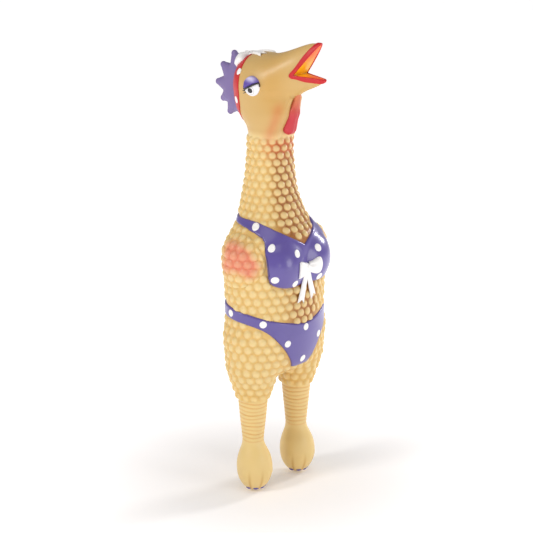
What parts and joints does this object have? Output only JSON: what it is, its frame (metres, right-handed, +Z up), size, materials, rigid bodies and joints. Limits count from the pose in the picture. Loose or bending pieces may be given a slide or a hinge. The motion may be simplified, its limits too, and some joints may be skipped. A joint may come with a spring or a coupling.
{
  "type": "rubber chicken",
  "caption": "Hollow latex rubber chicken standing on its toes, with a bumpy skin, an open beak, a raised polka-dot bikini with bows, a spiky comb and a squeaker.",
  "frame": {"origin": "on the ground under the middle of the whole figure's box", "axes": "+Z up along the body, -Y the way the beak and chest face, -X the chicken's right side"},
  "size_m": [0.1296, 0.1455, 0.4674],
  "materials": {
    "latex_skin": "satin natural latex with a cream to orange airbrush",
    "wing_blush": "satin latex with a pink airbrushed blush",
    "bikini_paint": "glossy purple latex paint",
    "comb_latex": "matt purple latex paint",
    "red_paint": "glossy red latex paint",
    "wattle_paint": "satin red latex paint",
    "orange_paint": "glossy yellow to orange latex paint",
    "white_paint": "satin white latex paint",
    "black_paint": "glossy black latex paint",
    "squeaker_plastic": "moulded white plastic",
    "reed_film": "thin stiff plastic film"
  },
  "bodies": {
    "torso": {"torso_shell": "latex_skin", "left_wing": "wing_blush", "right_wing": "wing_blush", "left_thigh": "latex_skin", "right_thigh": "latex_skin", "bikini_top": "bikini_paint", "bikini_top_dots": "white_paint", "bikini_bottom": "bikini_paint", "bikini_bottom_dots": "white_paint", "chest_bow": "white_paint", "chest_bow_tails": "white_paint", "squeaker_housing": "squeaker_plastic", "squeaker_cap": "squeaker_plastic", "reed_block": "squeaker_plastic"},
    "belly": {"belly_panel": "latex_skin"},
    "reed": {"reed": "reed_film"},
    "neck": {"neck_shell": "latex_skin"},
    "throat": {"throat_shell": "latex_skin"},
    "head": {"head_shell": "latex_skin", "comb": "comb_latex", "headband": "red_paint", "headband_dots": "white_paint", "head_bow": "white_paint", "head_bow_tails": "white_paint", "left_eye": "white_paint", "right_eye": "white_paint", "left_eyelid": "bikini_paint", "right_eyelid": "bikini_paint", "left_pupil": "black_paint", "right_pupil": "black_paint", "upper_lip": "red_paint", "mouth_lining": "orange_paint", "wattle": "wattle_paint"},
    "jaw": {"lower_beak": "latex_skin", "lower_lip": "red_paint", "jaw_lining": "orange_paint"},
    "left_leg": {"left_shank": "latex_skin"},
    "right_leg": {"right_shank": "latex_skin"},
    "left_foot": {"left_foot": "latex_skin", "left_toenails": "bikini_paint"},
    "right_foot": {"right_foot": "latex_skin", "right_toenails": "bikini_paint"}
  },
  "joints": [
    {"name": "neck_bend", "type": "hinge", "parent": "torso", "child": "neck", "pos_m": [0, -0.0025, 0.3], "axis": [1, 0, 0], "range_deg": [-40, 40], "stiffness_Nm_per_rad": 0.8},
    {"name": "throat_sway", "type": "hinge", "parent": "neck", "child": "throat", "pos_m": [0, -0.0012, 0.338], "axis": [0, 1, 0], "range_deg": [-30, 30], "stiffness_Nm_per_rad": 0.7},
    {"name": "head_turn", "type": "hinge", "parent": "throat", "child": "head", "pos_m": [0, -0.0012, 0.366], "axis": [0, 0, 1], "range_deg": [-40, 40], "stiffness_Nm_per_rad": 0.4},
    {"name": "jaw_flex", "type": "hinge", "parent": "head", "child": "jaw", "pos_m": [0, -0.04, 0.4325], "axis": [1, 0, 0], "range_deg": [-40, 10], "stiffness_Nm_per_rad": 0.08},
    {"name": "left_leg_swing", "type": "hinge", "parent": "torso", "child": "left_leg", "pos_m": [0.0335, -0.008, 0.106], "axis": [1, 0, 0], "range_deg": [-40, 40], "stiffness_Nm_per_rad": 1.2},
    {"name": "right_leg_swing", "type": "hinge", "parent": "torso", "child": "right_leg", "pos_m": [-0.0335, -0.008, 0.106], "axis": [1, 0, 0], "range_deg": [-40, 40], "stiffness_Nm_per_rad": 1.2},
    {"name": "left_ankle_flex", "type": "hinge", "parent": "left_leg", "child": "left_foot", "pos_m": [0.0335, -0.008, 0.05], "axis": [1, 0, 0], "range_deg": [-25, 25], "stiffness_Nm_per_rad": 1.2},
    {"name": "right_ankle_flex", "type": "hinge", "parent": "right_leg", "child": "right_foot", "pos_m": [-0.0335, -0.008, 0.05], "axis": [1, 0, 0], "range_deg": [-25, 25], "stiffness_Nm_per_rad": 1.2},
    {"name": "belly_squeeze", "type": "slide", "parent": "torso", "child": "belly", "axis": [0, 1, 0], "range_m": [0, 0.01], "stiffness_N_per_m": 400},
    {"name": "reed_flex", "type": "hinge", "parent": "torso", "child": "reed", "pos_m": [0, -0.00695, 0.1348], "axis": [1, 0, 0], "range_deg": [-4, 0], "stiffness_Nm_per_rad": 0.0002}
  ]
}
